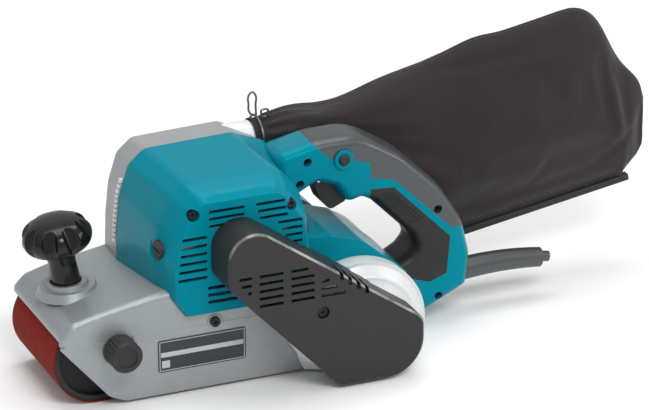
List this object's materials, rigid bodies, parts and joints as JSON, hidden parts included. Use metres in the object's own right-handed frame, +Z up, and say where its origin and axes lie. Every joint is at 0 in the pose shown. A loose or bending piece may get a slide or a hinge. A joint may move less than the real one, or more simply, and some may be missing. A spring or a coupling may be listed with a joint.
{
  "type": "belt sander",
  "caption": "Handheld belt sander with a sloping front grip, side drive cover, D-handle with trigger, open-sided sanding loop and a slide-off cloth dust bag.",
  "frame": {"origin": "centre of the sanding face: midway between the two roller axes, on the belt's centre line and on the sanding plane", "axes": "+X towards the handle and cord, +Y towards the open belt side away from the drive cover, +Z up from the sanding face"},
  "size_m": [0.582, 0.1939, 0.2312],
  "materials": {
    "teal_plastic": "satin moulded",
    "black_plastic": "fine textured",
    "gloss_black": "gloss",
    "grey_rubber": "soft matt",
    "cast_aluminium": "painted cast",
    "pale_casting": "smooth cast",
    "steel": "machined",
    "dark_steel": "blackened",
    "abrasive": "grit coated",
    "bag_cloth": "plain weave",
    "copper": "segmented",
    "brass": "turned",
    "lamination": "laminated",
    "white_plastic": "satin moulded",
    "label_film": "satin film",
    "cork_pad": "cork rubber",
    "carbon": "dry graphite",
    "belt_rubber": "ribbed",
    "lagging": "grooved"
  },
  "bodies": {
    "frame": {"base_frame": "cast_aluminium", "side_plate": "cast_aluminium", "rating_plate": "label_film", "front_cover": "cast_aluminium", "front_knob": "gloss_black", "knob_bolt": "steel", "platen_pad": "cork_pad", "platen_plate": "steel", "sanding_belt": "abrasive", "shaft_bearings": "steel", "drive_belt": "belt_rubber", "stator": "lamination", "brush_holders": "brass", "brushes": "carbon", "brush_caps": "black_plastic", "motor_housing": "teal_plastic", "case_screws": "dark_steel", "gear_case": "pale_casting", "rear_hood": "pale_casting", "rear_body": "teal_plastic", "fan_housing": "cast_aluminium", "dust_nozzle": "white_plastic", "vent_comb": "white_plastic", "handle_near": "teal_plastic", "handle_far": "teal_plastic", "grip_overmold": "grey_rubber", "inner_grip": "grey_rubber", "trigger_pin": "steel", "switch_body": "black_plastic", "cord_guard": "grey_rubber", "power_cord": "grey_rubber", "drive_cover": "black_plastic", "tension_spring": "steel"},
    "rear_drive": {"rear_roller": "pale_casting", "rear_lagging": "lagging", "rear_shaft": "steel", "roller_gear": "steel"},
    "pinion": {"pinion_shaft": "steel", "driven_pulley": "lagging"},
    "armature": {"armature_shaft": "steel", "armature_core": "lamination", "commutator": "copper", "cooling_fan": "black_plastic", "dust_fan": "pale_casting", "motor_pulley": "steel"},
    "carrier": {"front_carrier": "steel", "yoke_pin": "steel"},
    "yoke": {"front_yoke": "steel", "front_axle": "steel"},
    "front_idler": {"front_roller": "lagging", "front_bearings": "steel"},
    "lever": {"tension_lever": "dark_steel", "lever_pin": "steel"},
    "tracking": {"tracking_knob": "black_plastic", "tracking_screw": "steel"},
    "trigger": {"trigger": "black_plastic"},
    "lock": {"lock_button": "black_plastic"},
    "bag": {"dust_bag": "bag_cloth", "bag_clamp": "steel"},
    "rail": {"bag_rail": "black_plastic"}
  },
  "joints": [
    {"name": "rear_roller_spin", "type": "hinge", "parent": "frame", "child": "rear_drive", "pos_m": [0.09281, 0, 0.0385], "axis": [0, 1, 0], "continuous": true},
    {"name": "pinion_spin", "type": "hinge", "parent": "frame", "child": "pinion", "pos_m": [0.12373, 0, 0.043], "axis": [0, 1, 0], "continuous": true},
    {"name": "armature_spin", "type": "hinge", "parent": "frame", "child": "armature", "pos_m": [0.025, 0, 0.123], "axis": [0, 1, 0], "continuous": true},
    {"name": "carrier_slide", "type": "slide", "parent": "frame", "child": "carrier", "axis": [1, 0, 0], "range_m": [0, 0.008], "deforming": ["tension_spring"]},
    {"name": "yoke_swing", "type": "hinge", "parent": "carrier", "child": "yoke", "pos_m": [-0.0502, 0.052, 0.0385], "axis": [0, 0, 1], "range_deg": [0, 0.6]},
    {"name": "front_roller_spin", "type": "hinge", "parent": "yoke", "child": "front_idler", "pos_m": [-0.09281, 0, 0.0385], "axis": [0, 1, 0], "continuous": true},
    {"name": "lever_turn", "type": "hinge", "parent": "frame", "child": "lever", "pos_m": [-0.005, 0.05, 0.0385], "axis": [0, -1, 0], "range_deg": [0, 60]},
    {"name": "tracking_turn", "type": "hinge", "parent": "frame", "child": "tracking", "pos_m": [-0.08, -0.07, 0.0505], "axis": [0, -1, 0], "range_deg": [0, 90]},
    {"name": "trigger_squeeze", "type": "hinge", "parent": "frame", "child": "trigger", "pos_m": [0.1155, 0, 0.1445], "axis": [0, -1, 0], "range_deg": [0, 9]},
    {"name": "lock_press", "type": "slide", "parent": "frame", "child": "lock", "axis": [0, 1, 0], "range_m": [0, 0.003]},
    {"name": "bag_off", "type": "slide", "parent": "frame", "child": "bag", "axis": [1, 0, 0], "range_m": [0, 0.03]},
    {"name": "rail_off", "type": "slide", "parent": "bag", "child": "rail", "axis": [0.987, 0, 0.1608], "range_m": [0, 0.05]}
  ],
  "couplings": [
    {"joint": "pinion_spin", "follows": "rear_roller_spin", "ratio": -2.5714},
    {"joint": "armature_spin", "follows": "rear_roller_spin", "ratio": -6.9429},
    {"joint": "front_roller_spin", "follows": "rear_roller_spin", "ratio": 1},
    {"joint": "lever_turn", "follows": "carrier_slide", "rad_per_m": 130.8},
    {"joint": "tracking_turn", "follows": "yoke_swing", "ratio": 149.9}
  ]
}
